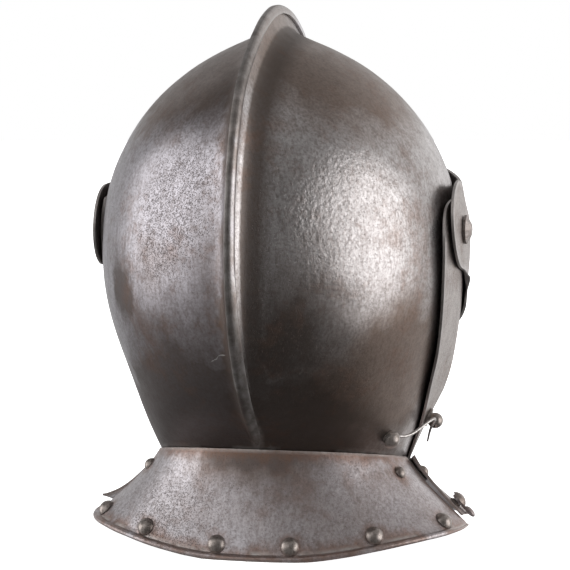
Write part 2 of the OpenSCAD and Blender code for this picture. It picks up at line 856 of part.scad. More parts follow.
function shell_half_row(patch, shape, v, first, first_n, more, bump) =
    let (uw = share_at(patch, shape, v, first))
    [
        for (k = [1:first_n])
            let (
                p = on_patch(patch, uw * pow(k / first_n, 1.4), v),
                x = shape(p)
            )
            lifted(x, p, bump(x, angle_of(p))),
        for (k = [1:more])
            let (p = on_patch(patch, uw + (1 - uw) * pow(k / more, 1.1), v), x = shape(p))
            lifted(x, p, bump(x, angle_of(p))),
    ];

// A row across the face: the right half mirrored, the middle, and the left half.
function both_halves(right, middle, left) =
    concat(
        [for (j = [len(right) - 1:-1:0]) [-right[j][0], right[j][1], right[j][2]]],
        [middle],
        left
    );

no_bump = function (x, a) 0;

bevor_rows = 15;

function bevor_row(v) =
    let (
        m = on_patch(bevor_patch(0), 0, v),
        halves = [for (fwd = [0, left_edge_fwd])
            shell_half_row(bevor_patch(fwd), bevor_side, v, 24, 4, 12, no_bump)]
    )
    both_halves(halves[0], [0, m[0], m[1]], halves[1]);

function bevor_flange(row, s) =
    [for (p = row)
        let (
            a = atan2(p[0] / (neck_half + front_grow), (p[1] + neck_fwd) / (neck_len + front_grow)),
            b = collar_point(a, 0, front_grow),
            q = collar_point(a, s, front_grow)
        )
        p + q - b];

module bevor() {
    rows = [for (i = [0:bevor_rows]) bevor_row(i / bevor_rows)];
    outer = concat(rows, [for (k = [1:3]) bevor_flange(rows[bevor_rows], flange * k / 3)]);
    flipped = [for (row = outer) [for (j = [len(row) - 1:-1:0]) row[j]]];
    color(iron) at_bolts() difference() {
        plate(flipped, moved_in(flipped, plate_t));
        bolt_holes();
        for (a = front_joint_angles) rivet_hole(front_seat(a, joint_share, 0));
        rivet_hole(eye_seat);
    }
}

// Visor

visor_rows = 14;
keel_share = [[0, 0.12], [8, 0.4], [16, 0.8], [24, 1], [40, 1]];

function keel_at(a) =
    a > 180 ? (a < 350 ? 0 : keel_h * 0.12 * (a - 350) / 10) : keel_h * along(keel_share, min(a, 40));

visor_bump = function (x, a) x > keel_w ? 0 : keel_at(a) * (1 + cos(180 * x / keel_w)) / 2;

function visor_row(v) =
    let (
        m = on_patch(visor_patch(left_lobe), 0, v),
        halves = [for (lobe = [right_lobe, left_lobe])
            shell_half_row(visor_patch(lobe), visor_side, v, keel_w, 5, 12, visor_bump)]
    )
    both_halves(halves[0], lifted(0, m, visor_bump(0, angle_of(m))), halves[1]);

sight_z = 22;
sight_inner = 20;
breath_seat_point = [-126, -46];

module sights() {
    for (hand = [-1, 1])
        translate([hand * (sight_inner + sight_w / 2), -120, sight_z]) rotate([90, 0, 0]) {
            cube([sight_w - sight_h, sight_h, 120], center = true);
            for (end = [-1, 1])
                translate([end * (sight_w - sight_h) / 2, 0, 0]) cylinder(d = sight_h, h = 120, center = true);
        }
}

module breaths() {
    for (hand = [-1, 1])
        face(side_seat(visor_side, breath_seat_point, hand))
            for (hole = [0:6])
                rotate([0, 0, 60 * hole])
                    translate([hole == 6 ? 0 : breath_pitch, 0, 0])
                        cylinder(d = breath_d, h = 2 * cut_reach, center = true);
}

module visor() {
    rows = [for (i = [0:visor_rows]) visor_row(i / visor_rows)];
    color(iron) at_bolts() difference() {
        plate(rows, moved_in(rows, plate_t));
        bolt_holes();
        sights();
        breaths();
        rivet_hole(peg_seat);
    }
}

peg_seat = side_seat(visor_side, [-0.72 * prow_r, 2], -1);

module lifting_peg() {
    color(bright_iron) at_bolts() face(peg_seat) {
        translate([0, 0, head_gap]) {
            cylinder(d = 7, h = 1.5);
            cylinder(d = 4, h = peg_h - 4);
            translate([0, 0, peg_h - 4]) sphere(d = 8);
        }
        translate([0, 0, -plate_t - 1.5]) cylinder(d = rivet_shank_d, h = plate_t + 2.5);
        peened_end(-plate_t - 1.5);
    }
}

// Closing hook, its rivet and the pierced stud that takes it

hook_point = [31, -120];
eye_point = [-17, -114.5];
hook_seat = side_seat(skull_side, hook_point, -1);
eye_seat = side_seat(bevor_side, eye_point, -1);
hook_stand = 1.2;
eye_turn = 35;

module hook_rivet() {
    color(dark_iron) at_bolts() face(hook_seat) {
        translate([0, 0, hook_stand + wire_d + 2 * run_gap]) cap(hook_rivet_d, hook_rivet_d * 0.4);
        translate([0, 0, head_gap]) cylinder(d = hook_rivet_d * 0.8, h = hook_stand - head_gap);
        translate([0, 0, -plate_t - 0.7]) cylinder(d = rivet_shank_d, h = hook_stand + wire_d + plate_t + 1.5);
        peened_end(-plate_t - peen_h);
    }
}

module hook_eye() {
    color(dark_iron) at_bolts() face(eye_seat) {
        difference() {
            translate([0, 0, head_gap]) union() {
                cylinder(d = eye_d + 2, h = 1.2);
                cylinder(d = eye_d * 0.75, h = eye_h * 0.5);
                translate([0, 0, eye_h * 0.6]) sphere(d = eye_d);
            }
            translate([0, 0, head_gap + eye_h * 0.6]) rotate([90, 0, eye_turn])
                cylinder(d = eye_hole_d, h = 3 * eye_d, center = true);
        }
        translate([0, 0, -plate_t - 0.1]) cylinder(d = rivet_shank_d, h = plate_t + 1.2);
    }
}

// The hook's own directions: towards the stud, up along the skull, and out of it.
hook_out = hook_seat[1];
hook_fwd =
    let (d = eye_seat[0] - hook_seat[0])
    unit(d - hook_out * (d * hook_out));
hook_up = cross(hook_out, hook_fwd) * (cross(hook_out, hook_fwd)[2] > 0 ? 1 : -1);
hook_reach = norm(eye_seat[0] - hook_seat[0]) - eye_d / 2 - wire_d - 1;
hook_mid = hook_stand + run_gap + wire_d / 2;

// Wire points: share of the reach, rise and stand-off in millimetres
hook_route = [
    [0, [0.08, 1, hook_mid]], [0.08, [0.17, 1.1, hook_mid]], [0.16, [0.27, 0.9, hook_mid + 0.6]],
    [0.28, [0.43, 2, 2.8]], [0.42, [0.62, 5, 1.6]], [0.54, [0.78, 7.5, 0.4]], [0.64, [0.91, 8, -0.4]],
    [0.74, [0.98, 3.8, -1.6]], [0.84, [0.99, -1, -1.8]], [1, [1, -9, 0]],
];

function hook_at(k) =
    let (q = along(hook_route, k))
    [q[0] * hook_reach, q[1], q[2]];

module wire(rings, sides) {
    centre = [for (i = [0:rings]) hook_at(i / rings)];
    ring = [for (i = [0:rings])
        let (
            d = unit(centre[min(rings, i + 1)] - centre[max(0, i - 1)]),
            a = unit(cross(d, [0, 0, 1])),
            b = cross(a, d),
            r = wire_d / 2 * (1 - 0.35 * ramp(i / rings, 0.7, 1))
        )
        [for (j = [0:sides - 1]) centre[i] + r * (a * cos(360 * j / sides) + b * sin(360 * j / sides))]];
    polyhedron(
        points = [for (r = ring) each r],
        faces = [
            [for (j = [sides - 1:-1:0]) j],
            for (i = [0:rings - 1]) for (j = [0:sides - 1])
                let (k = (j + 1) % sides)
                each two(i * sides + j, i * sides + k, (i + 1) * sides + k, (i + 1) * sides + j),
            [for (j = [0:sides - 1]) rings * sides + j],
        ]
    );
}

module closing_hook() {
    f = hook_fwd;
    u = hook_up;
    n = hook_out;
    p = hook_seat[0];
    color(bright_iron) at_bolts()
        multmatrix([[f[0], u[0], n[0], p[0]], [f[1], u[1], n[1], p[1]], [f[2], u[2], n[2], p[2]], [0, 0, 0, 1]])
        difference() {
            union() {
                translate([0, 0, hook_stand + run_gap])
                    cylinder(d = rivet_shank_d + 2 * wire_d + 1, h = wire_d);
                wire(26, 8);
            }
            cylinder(d = rivet_shank_d + 2 * run_gap, h = 2 * cut_reach, center = true);
        }
}

// Collar catch, a leaf that hangs from its rivet at the front collar's rear corner

catch_angle = -97;
catch_share = 0.73;
catch_seat = front_seat(catch_angle, catch_share, collar_outside);
catch_stand = 1.7;
catch_base = 1;
catch_tilt = 8;

// The leaf's axis leans down from the plate's own direction.
function flat_down(out) = let (d = [0, 0, -1]) unit(d - out * (d * out));

catch_out = unit(catch_seat[1] * cos(catch_tilt) + flat_down(catch_seat[1]) * sin(catch_tilt));
catch_down = flat_down(catch_out);
catch_side = cross(catch_out, catch_down);

module catch_rivet() {
    color(dark_iron) at_bolts() {
        face(catch_seat) {
            translate([0, 0, head_gap]) cylinder(d = catch_w * 0.9, h = catch_base - head_gap);
            translate([0, 0, -plate_t - 0.8]) cylinder(d = rivet_shank_d, h = plate_t + catch_base);
            peened_end(-plate_t - 0.8);
        }
        face([catch_seat[0], catch_out]) {
            translate([0, 0, catch_base]) cap(catch_w * 0.8, catch_stand - catch_base);
            translate([0, 0, catch_base]) cylinder(d = rivet_shank_d, h = catch_stand + catch_t);
            translate([0, 0, catch_stand + catch_t + 2 * run_gap]) cap(catch_rivet_d, catch_rivet_d * 0.28);
        }
    }
}

module collar_catch() {
    f = catch_down;
    u = catch_side;
    n = catch_out;
    p = catch_seat[0];
    color(warm_iron) at_bolts()
        multmatrix([[f[0], u[0], n[0], p[0]], [f[1], u[1], n[1], p[1]], [f[2], u[2], n[2], p[2]], [0, 0, 0, 1]])
        translate([0, 0, catch_stand + run_gap]) difference() {
            union() {
                cylinder(d = catch_w, h = catch_t);
                translate([catch_len - catch_w / 2, 0, catch_t]) scale([1, 0.75, 0.45]) sphere(d = catch_w);
                translate([0, -catch_w * 0.28, 0]) cube([catch_len - catch_w / 2, catch_w * 0.56, catch_t]);
            }
            cylinder(d = rivet_shank_d + 2 * run_gap, h = 2 * cut_reach, center = true);
        }
}

skull_left();
skull_right();
rear_collar();
rear_joint_rivets();
rear_lining_rivets();
rear_lining_strap();
rear_lining_washers();
pivot_bolt_left();
pivot_bolt_right();
pivot_washers();
pivot_nuts();
hook_rivet();
bevor();
front_collar();
front_joint_rivets();
front_lining_rivets();
front_lining_strap();
front_lining_washers();
hook_eye();
catch_rivet();
visor();
lifting_peg();
closing_hook();
collar_catch();
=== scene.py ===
"""A combed close helmet of wrought iron, seen from behind, built on its CAD frame."""

import math

import bpy
from mathutils import Matrix, Vector
from mathutils.kdtree import KDTree


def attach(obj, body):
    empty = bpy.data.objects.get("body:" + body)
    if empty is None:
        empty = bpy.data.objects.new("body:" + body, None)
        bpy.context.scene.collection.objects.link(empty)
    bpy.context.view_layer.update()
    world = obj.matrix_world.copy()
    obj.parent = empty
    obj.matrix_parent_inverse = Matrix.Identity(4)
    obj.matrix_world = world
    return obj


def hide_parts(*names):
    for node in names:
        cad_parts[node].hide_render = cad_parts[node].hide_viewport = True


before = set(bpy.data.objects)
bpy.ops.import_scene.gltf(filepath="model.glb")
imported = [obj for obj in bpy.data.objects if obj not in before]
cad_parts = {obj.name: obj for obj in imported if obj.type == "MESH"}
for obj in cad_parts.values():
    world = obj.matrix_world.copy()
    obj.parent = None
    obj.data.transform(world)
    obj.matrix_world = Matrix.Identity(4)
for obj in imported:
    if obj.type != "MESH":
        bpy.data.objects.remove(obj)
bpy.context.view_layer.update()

# Left half of the skull
# One sheet of wrought iron, raised with hammers over a stake and planished smooth. Its edge is folded
# over the comb to hold the right half. The skin has a blue-grey sheen above and turns black-brown below.

CREASE_ANGLE = math.radians(50)
RIM_ANGLE = math.radians(28)
SHADED_ANGLE = math.radians(40)
MERGE_GAP = 0.00002
SMOOTH_LEVELS = 2
BROKEN_EDGE = 0.0003
RIM_KEPT = 0.006
RIM_FADE = 0.014
NO_RIM_NEAR = 1.0


def activate(piece):
    """Selects this piece alone, so that an operator acts on nothing else."""
    bpy.ops.object.select_all(action="DESELECT")
    piece.select_set(True)
    bpy.context.view_layer.objects.active = piece


def apply_last(piece):
    """Applies the modifier that was added last."""
    activate(piece)
    bpy.ops.object.modifier_apply(modifier=piece.modifiers[-1].name)


def merged_copy(node, name):
    """A copy of a CAD node's mesh as one closed skin, made mostly of four-sided faces."""
    piece = bpy.data.objects.new(name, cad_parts[node].data.copy())
    bpy.context.scene.collection.objects.link(piece)
    piece.data.materials.clear()
    activate(piece)
    bpy.ops.mesh.customdata_custom_splitnormals_clear()
    bpy.ops.object.mode_set(mode="EDIT")
    bpy.ops.mesh.select_mode(type="VERT")
    bpy.ops.mesh.select_all(action="SELECT")
    bpy.ops.mesh.remove_doubles(threshold=MERGE_GAP)
    bpy.ops.mesh.tris_convert_to_quads(face_threshold=CREASE_ANGLE, shape_threshold=CREASE_ANGLE)
    bpy.ops.object.mode_set(mode="OBJECT")
    return piece


def round_out(piece, crease_angle=CREASE_ANGLE, edge_width=BROKEN_EDGE):
    """Smooths the faceted skin, keeps its edges in place and breaks them by a small rounding."""
    activate(piece)
    bpy.ops.object.mode_set(mode="EDIT")
    bpy.ops.mesh.select_mode(type="EDGE")
    bpy.ops.mesh.select_all(action="DESELECT")
    bpy.ops.mesh.edges_select_sharp(sharpness=crease_angle)
    bpy.ops.transform.edge_crease(value=1)
    bpy.ops.object.mode_set(mode="OBJECT")
    smooth = piece.modifiers.new("smooth", "SUBSURF")
    smooth.levels = SMOOTH_LEVELS
    smooth.render_levels = SMOOTH_LEVELS
    apply_last(piece)
    broken = piece.modifiers.new("broken edge", "BEVEL")
    broken.width = edge_width
    broken.segments = 2
    broken.limit_method = "ANGLE"
    broken.angle_limit = CREASE_ANGLE
    apply_last(piece)


def hammer(piece, depth, spacing):
    """The slight unevenness that planishing leaves, as real waves in the skin."""
    marks = bpy.data.textures.new(piece.name + "_marks", "CLOUDS")
    marks.noise_scale = spacing
    marks.noise_depth = 1
    waves = piece.modifiers.new("hammer marks", "DISPLACE")
    waves.texture = marks
    waves.texture_coords = "LOCAL"
    waves.strength = depth
    waves.mid_level = 0.5
    apply_last(piece)


def shade_smooth(piece, angle=SHADED_ANGLE):
    """Shades the skin as smooth, except over edges sharper than the angle."""
    activate(piece)
    bpy.ops.object.shade_smooth_by_angle(angle=angle)


def rim_gaps(piece):
    """How far each vertex is from the nearest sharp edge."""
    skin = piece.data
    sharp = set()
    ways = {}
    for face in skin.polygons:
        for edge in face.edge_keys:
            ways.setdefault(edge, []).append(face.normal)
    for edge, normals in ways.items():
        if len(normals) == 2 and normals[0].angle(normals[1], 0) > RIM_ANGLE:
            sharp.update(edge)
    near = KDTree(max(len(sharp), 1))
    for vertex in sharp:
        near.insert(skin.vertices[vertex].co, vertex)
    near.balance()
    found = (near.find(vertex.co)[2] for vertex in skin.vertices)
    return [NO_RIM_NEAR if gap is None else gap for gap in found]


def mark_rim(piece, reach, name="rim"):
    """Writes how near each vertex is to a sharp edge, 1 on it and 0 a reach away, for wear and rust."""
    values = [max(0.0, 1 - gap / reach) for gap in rim_gaps(piece)]
    piece.data.attributes.new(name, "FLOAT", "POINT").data.foreach_set("value", values)


def planish(piece, rounds):
    """Evens the open skin out, as light blows all over do, and leaves the rims and the comb as they are."""
    open_skin = piece.vertex_groups.new(name="open skin")
    for index, gap in enumerate(rim_gaps(piece)):
        open_skin.add([index], min(1.0, max(0.0, (gap - RIM_KEPT) / RIM_FADE)), "REPLACE")
    even = piece.modifiers.new("planished", "SMOOTH")
    even.factor = 0.5
    even.iterations = rounds
    even.vertex_group = open_skin.name
    apply_last(piece)


def plate(node, name, body, wave=0.0003, spacing=0.02, rim_reach=0.004, rounds=0):
    """A wrought plate in place of its CAD node."""
    piece = merged_copy(node, name)
    round_out(piece)
    if rounds:
        planish(piece, rounds)
    hammer(piece, wave, spacing)
    mark_rim(piece, rim_reach)
    shade_smooth(piece)
    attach(piece, body)
    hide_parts(node)
    return piece


def add_node(tree, kind, **values):
    """A shader node with its settings and input values given by name."""
    node = tree.nodes.new(kind)
    for key, value in values.items():
        if key in node.inputs:
            node.inputs[key].default_value = value
        else:
            setattr(node, key, value)
    return node


def noise_in(tree, place, waves, detail=3.0, rough=0.55, warp=0.0):
    """A noise pattern on the piece's own coordinates, so many waves to the metre."""
    node = add_node(tree, "ShaderNodeTexNoise", Scale=waves, Detail=detail, Roughness=rough, Distortion=warp)
    tree.links.new(place, node.inputs["Vector"])
    return node.outputs["Fac"]


def stepped(tree, value, low, high, out_low=0.0, out_high=1.0):
    """A value spread from low..high to out_low..out_high, and held at both ends."""
    node = add_node(tree, "ShaderNodeMapRange", **{"From Min": low, "From Max": high})
    node.inputs["To Min"].default_value = out_low
    node.inputs["To Max"].default_value = out_high
    tree.links.new(value, node.inputs["Value"])
    return node.outputs["Result"]


def joined(tree, operation, first, second):
    """Two values, each a number or a socket, joined by a Math node."""
    node = add_node(tree, "ShaderNodeMath", operation=operation)
    for socket, value in zip(node.inputs, (first, second)):
        if isinstance(value, (int, float)):
            socket.default_value = value
        else:
            tree.links.new(value, socket)
    return node.outputs["Value"]


def added(tree, first, second, share):
    """The first value and a share of the second."""
    return joined(tree, "ADD", first, joined(tree, "MULTIPLY", second, share))


def blended(tree, share, first, second):
    """A mix of two colours, each a colour or a socket, by a share."""
    node = add_node(tree, "ShaderNodeMix", data_type="RGBA")
    tree.links.new(share, node.inputs["Factor"])
    for socket, value in ((node.inputs[6], first), (node.inputs[7], second)):
        if isinstance(value, tuple):
            socket.default_value = (*value, 1)
        else:
            tree.links.new(value, socket)
    return node.outputs[2]


def spot(tree, place, centre, size, turned=(0, 0, 0)):
    """A soft egg-shaped patch on the piece, 1 in its middle and 0 at its size from there."""
    egg = add_node(tree, "ShaderNodeMapping", vector_type="TEXTURE")
    egg.inputs["Location"].default_value = centre
    egg.inputs["Rotation"].default_value = turned
    egg.inputs["Scale"].default_value = size
    ball = add_node(tree, "ShaderNodeTexGradient", gradient_type="SPHERICAL")
    tree.links.new(place, egg.inputs["Vector"])
    tree.links.new(egg.outputs["Vector"], ball.inputs["Vector"])
    return ball.outputs["Fac"]


RAGGED = 0.9


def patches(tree, place, spots, edge):
    """Soft patches that a noise breaks up at their edges, each spot a centre, a size and a strength."""
    total = joined(tree, "MULTIPLY", joined(tree, "SUBTRACT", edge, 0.5), RAGGED)
    for centre, size, strength in spots:
        total = added(tree, total, spot(tree, place, centre, size), strength)
    return total


def drifted(tree, place, waves, reach):
    """The piece's coordinates pushed about by a noise, so that no patch keeps an even outline."""
    drift = add_node(tree, "ShaderNodeTexNoise", Scale=waves, Detail=5.0, Roughness=0.6)
    tree.links.new(place, drift.inputs["Vector"])
    moved = add_node(tree, "ShaderNodeVectorMath", operation="MULTIPLY_ADD")
    tree.links.new(drift.outputs["Color"], moved.inputs[0])
    moved.inputs[1].default_value = (reach, reach, reach)
    tree.links.new(place, moved.inputs[2])
    back = add_node(tree, "ShaderNodeVectorMath", operation="SUBTRACT")
    tree.links.new(moved.outputs["Vector"], back.inputs[0])
    back.inputs[1].default_value = (reach / 2, reach / 2, reach / 2)
    return back.outputs["Vector"]


SHAKE_WAVES = 300.0
SHAKE_REACH = 0.0035
LINE_DEPTH = 0.004
LINE_OVERLAP = 0.62
CRACK_HALF_WIDTH = 0.0006
SCRATCH_HALF_WIDTH = 0.0004


def line_along(tree, place, course, half_width):
    """A thin line through a few places on the piece, wandering a little as it goes."""
    shaky = drifted(tree, place, SHAKE_WAVES, SHAKE_REACH)
    line = 0.0
    for start, end in zip(course, course[1:]):
        way = Vector(end) - Vector(start)
        middle = (Vector(start) + Vector(end)) / 2
        across = Vector((middle.x, middle.y, 0)).cross(way).normalized()
        turned = Matrix((way.normalized(), across, way.cross(across).normalized())).transposed().to_euler()
        size = (way.length * LINE_OVERLAP, half_width, LINE_DEPTH)
        line = joined(tree, "MAXIMUM", line, spot(tree, shaky, middle, size, turned))
    return stepped(tree, line, 0.0, 0.45)


# Waves or cells to the metre of the patterns in the iron, from wide to fine
CLOUD_WAVES = 24.0
DRIFT_WAVES = 55.0
MOTTLE_WAVES = 130.0
PEEL_WAVES = 380.0
RUBBED_WAVES = 520.0
GRAIN_WAVES = 620.0
SPECK_WAVES = 1250.0
PIT_CELLS = 1500.0

DRIFT_REACH = 0.035
RUBBED_STRETCH = (1, 1, 0.13)
GROOVE_WANDER = 0.0004
LUMP_HEIGHT = 0.0003
PIT_DEPTH = 0.0001

PIT_BROWN = (0.105, 0.082, 0.076)
RUST = (0.25, 0.135, 0.09)
WORN_EDGE = (0.62, 0.60, 0.585)

# Brightness of stains and painted shade, and of grain, as shares of the patina's
STAIN_AND_SHADE_TONE = 0.4
GRAIN_TONE = 0.5

# The most that each mark covers what is under it
BLOTCH_COVER = 0.3
BORDER_COVER = 0.75
GRAIN_COVER = 0.55
PIT_COVER = 0.5
RIM_COVER = 0.6
SCRATCH_COVER = 0.55

# How much duller than the sheen each mark is
FILM_DULLS = 0.06
DARK_DULLS = 0.16
PITS_DULL = 0.2


def darker(colour, share):
    """A share of a colour's brightness."""
    return tuple(share * value for value in colour)


def old_iron(name, sheen, patina, film=(), dark=(), pitted=(), orange=(), strips=(), nicks=(), cracks=(),
             scratches=(), shine=0.29, pits_from=0.25, metal=0.95, darkest=0.9, lumps=0.15):
    """Iron with a sheen and a brown patina, its dark, cracked, pitted, lumpy and worn places, and painted
    shade.
    """
    material = bpy.data.materials.new(name)
    material.use_nodes = True
    tree = material.node_tree
    shader = tree.nodes["Principled BSDF"]
    place = add_node(tree, "ShaderNodeTexCoord").outputs["Object"]
    rim = add_node(tree, "ShaderNodeAttribute", attribute_name="rim").outputs["Fac"]
    border = add_node(tree, "ShaderNodeAttribute", attribute_name="border").outputs["Fac"]
    clouds = noise_in(tree, place, CLOUD_WAVES, detail=7.0, rough=0.62, warp=0.3)
    mottle = noise_in(tree, place, MOTTLE_WAVES, detail=5.0, rough=0.65)
    grain = noise_in(tree, place, GRAIN_WAVES, detail=3.0, rough=0.6)
    speck = noise_in(tree, place, SPECK_WAVES, detail=2.0, rough=0.6)
    peel = noise_in(tree, place, PEEL_WAVES, detail=2.0, rough=0.55)
    lengthwise = add_node(tree, "ShaderNodeMapping", Scale=RUBBED_STRETCH)
    tree.links.new(place, lengthwise.inputs["Vector"])
    rubbed = noise_in(tree, lengthwise.outputs["Vector"], RUBBED_WAVES, detail=3.0, rough=0.6)
    adrift = drifted(tree, place, DRIFT_WAVES, DRIFT_REACH)

    # Brown film over the sheen, then dark stains, nicks and cracks, and strips of painted shade in hollows
    filmed = stepped(tree, patches(tree, adrift, film, clouds), 0.05, 0.8)
    colour = blended(tree, filmed, sheen, patina)
    darkened = stepped(tree, patches(tree, adrift, dark, clouds), 0.04, 0.85, 0, darkest)
    for centre, size in nicks:
        darkened = joined(tree, "MAXIMUM", darkened, stepped(tree, spot(tree, place, centre, size), 0, 0.4))
    for course in cracks:
        darkened = joined(tree, "MAXIMUM", darkened, line_along(tree, place, course, CRACK_HALF_WIDTH))
    # Strips of painted shade along grooves and hollows, their edges wandering a little
    for near_x, full_x, end_x, gone_x, strength in strips:
        across = add_node(tree, "ShaderNodeSeparateXYZ")
        tree.links.new(place, across.inputs[0])
        wander = stepped(tree, grain, 0.3, 0.7, -GROOVE_WANDER, GROOVE_WANDER)
        wandering = joined(tree, "ADD", across.outputs["X"], wander)
        leaving = stepped(tree, wandering, end_x, gone_x, strength, 0)
        inside = joined(tree, "MULTIPLY", stepped(tree, wandering, near_x, full_x), leaving)
        darkened = joined(tree, "MAXIMUM", darkened, inside)
    colour = blended(tree, darkened, colour, darker(patina, STAIN_AND_SHADE_TONE))

    # Rust in blotches, and along a border where one is marked
    blotches = stepped(tree, added(tree, clouds, mottle, 0.8), 0.94, 1.14, 0, BLOTCH_COVER)
    crept = stepped(tree, added(tree, border, mottle, 1.2), 0.95, 1.5, 0, BORDER_COVER)
    colour = blended(tree, joined(tree, "MAXIMUM", blotches, crept), colour, RUST)

    # Fine dark grain, drawn out lengthwise by rubbing
    streaks = added(tree, grain, rubbed, 0.6)
    mixed = added(tree, streaks, mottle, 0.4)
    shade = stepped(tree, mixed, 0.85, 1.2, 0.0, GRAIN_COVER)
    colour = blended(tree, shade, colour, darker(patina, GRAIN_TONE))

    # Pits, each of its own size, wider where the iron is pitted
    worst = stepped(tree, patches(tree, adrift, pitted, mottle), 0.05, 0.9, pits_from, 0.66)
    cell = add_node(tree, "ShaderNodeTexVoronoi", Scale=PIT_CELLS)
    tree.links.new(place, cell.inputs["Vector"])
    widest = joined(tree, "MULTIPLY", worst, stepped(tree, cell.outputs["Color"], 0.2, 0.8, 0.1, 1.0))
    hole = joined(tree, "SUBTRACT", widest, cell.outputs["Distance"])
    uneven = stepped(tree, speck, 0.3, 0.7, -0.25, 0.25)
    pits = stepped(tree, joined(tree, "ADD", hole, uneven), -0.06, 0.16)
    colour = blended(tree, joined(tree, "MULTIPLY", pits, PIT_COVER), colour, PIT_BROWN)

    # Bright metal where rims are rubbed, and in scratches
    bright = joined(tree, "MULTIPLY", rim, stepped(tree, mottle, 0.38, 0.6, 0.25, RIM_COVER))
    for course in scratches:
        line = line_along(tree, place, course, SCRATCH_HALF_WIDTH)
        bright = joined(tree, "MAXIMUM", bright, joined(tree, "MULTIPLY", line, SCRATCH_COVER))
    colour = blended(tree, bright, colour, WORN_EDGE)
    tree.links.new(colour, shader.inputs["Base Color"])
    shader.inputs["Metallic"].default_value = metal

    # Film, stains and pits are duller than the sheen
    gloss = stepped(tree, mottle, 0.3, 0.7, shine - 0.03, shine + 0.06)
    gloss = added(tree, gloss, filmed, FILM_DULLS)
    gloss = added(tree, gloss, darkened, DARK_DULLS)
    gloss = added(tree, gloss, pits, PITS_DULL)
    tree.links.new(gloss, shader.inputs["Roughness"])

    # Orange peel in the skin, and the depth of the pits
    lumpy = stepped(tree, patches(tree, adrift, orange, clouds), 0.0, 0.6, lumps, 1.0)
    skin = added(tree, joined(tree, "MULTIPLY", peel, lumpy), grain, 0.12)
    skin_bump = add_node(tree, "ShaderNodeBump", Strength=1.0, Distance=LUMP_HEIGHT)
    tree.links.new(skin, skin_bump.inputs["Height"])
    pit_bump = add_node(tree, "ShaderNodeBump", Strength=0.8, Distance=PIT_DEPTH, invert=True)
    tree.links.new(pits, pit_bump.inputs["Height"])
    tree.links.new(skin_bump.outputs["Normal"], pit_bump.inputs["Normal"])
    tree.links.new(pit_bump.outputs["Normal"], shader.inputs["Normal"])
    return material


PLANISHING_ROUNDS = 60

# Each patch is its centre and its size in metres, and its strength. A nick has no strength of its own.
LEFT_FILM = (
    ((0.03, 0.055, 0.300), (0.10, 0.10, 0.075), 2.2),
    ((0.0, 0.11, 0.29), (0.012, 0.12, 0.08), 1.6),
    ((0.0, 0.15, 0.17), (0.012, 0.03, 0.16), 0.9),
    ((0.0, 0.12, 0.11), (0.014, 0.06, 0.07), 1.8),
    ((0.052, 0.118, 0.172), (0.026, 0.03, 0.022), 0.5),
)
LEFT_DARK = (
    ((0.076, 0.092, 0.160), (0.014, 0.02, 0.026), 1.5),
    # Darker towards the bottom of the left half
    ((0.03, 0.115, 0.100), (0.10, 0.09, 0.08), 1.15),
    ((0.03, 0.10, 0.060), (0.14, 0.14, 0.060), 2.4),
    ((0.004, 0.12, 0.275), (0.03, 0.05, 0.05), 1.0),
    # Painted shade along the left flank of the comb
    ((0.016, 0.140, 0.180), (0.020, 0.04, 0.050), 0.55),
)
LEFT_PITTED = (
    ((0.036, 0.124, 0.212), (0.040, 0.03, 0.055), 1.3),
    ((0.05, 0.117, 0.188), (0.030, 0.03, 0.04), 0.9),
)
FOLD_NICK = ((-0.0004, 0.1535, 0.1846), (0.0026, 0.006, 0.0052))
# A darker spot where the comb ends low on the nape
COMB_FOOT_DARK = ((-0.002, 0.092, 0.074), (0.009, 0.03, 0.018))
# Painted shade in the groove beside the fold: where it begins, is full, ends and is gone across the comb,
# and its strength
FOLD_GROOVE_SHADE = (-0.0016, -0.0012, 0.0004, 0.0008, 0.9)
# The places that a crack or a scratch runs through
COMB_CRACK = (
    (-0.0023, 0.1099, 0.0900),
    (-0.0025, 0.1034, 0.0845),
    (-0.0037, 0.0981, 0.0804),
    (-0.0024, 0.0875, 0.0720),
    (-0.0011, 0.0764, 0.0645),
)
COMB_SCRATCH = ((0.0160, 0.1224, 0.1181), (0.0108, 0.1262, 0.1219), (0.0064, 0.1288, 0.1236))

left_plate = plate("skull_left", "left_skull_plate", "skull", rounds=PLANISHING_ROUNDS)
left_iron = old_iron(
    "iron with blue-grey sheen",
    sheen=(0.44, 0.418, 0.447),
    patina=(0.19, 0.146, 0.128),
    film=LEFT_FILM,
    dark=LEFT_DARK,
    pitted=LEFT_PITTED,
    strips=(FOLD_GROOVE_SHADE,),
    nicks=(FOLD_NICK, COMB_FOOT_DARK),
    cracks=(COMB_CRACK,),
    scratches=(COMB_SCRATCH,),
    darkest=0.87,
)
left_plate.data.materials.append(left_iron)

# Right half of the skull
# The second raised sheet, its edge held under the fold of the left one. It kept more of its dark brown
# patina than the left half, and its skin is lumpy at the widest place. Painted shade darkens the hollow
# at the foot of the comb.

RIGHT_FILM = (
    ((-0.05, 0.05, 0.300), (0.11, 0.10, 0.075), 1.9),
    ((-0.08, 0.07, 0.10), (0.07, 0.08, 0.07), 1.7),
)
RIGHT_DARK = (
    ((-0.03, 0.125, 0.13), (0.05, 0.06, 0.08), 1.1),
    ((-0.02, 0.10, 0.070), (0.08, 0.12, 0.04), 1.8),
)
RIGHT_ORANGE = (((-0.062, 0.104, 0.198), (0.045, 0.05, 0.05), 2.0),)
# Painted shade in the hollow at the foot of the comb, as a strip across x
COMB_SHADOW = (-0.024, -0.014, -0.0058, -0.0048, 0.85)

right_plate = plate("skull_right", "right_skull_plate", "skull", rounds=PLANISHING_ROUNDS)
right_iron = old_iron(
    "iron with brown patina",
    sheen=(0.465, 0.437, 0.433),
    patina=(0.21, 0.16, 0.135),
    film=RIGHT_FILM,
    dark=RIGHT_DARK,
    strips=(COMB_SHADOW,),
    orange=RIGHT_ORANGE,
)
right_plate.data.materials.append(right_iron)

# Rear collar
# A flared strip of sheet iron below the nape, lighter than the skull. Its lower edge is rolled outwards
# over a wire, and rust has crept in from its edges.

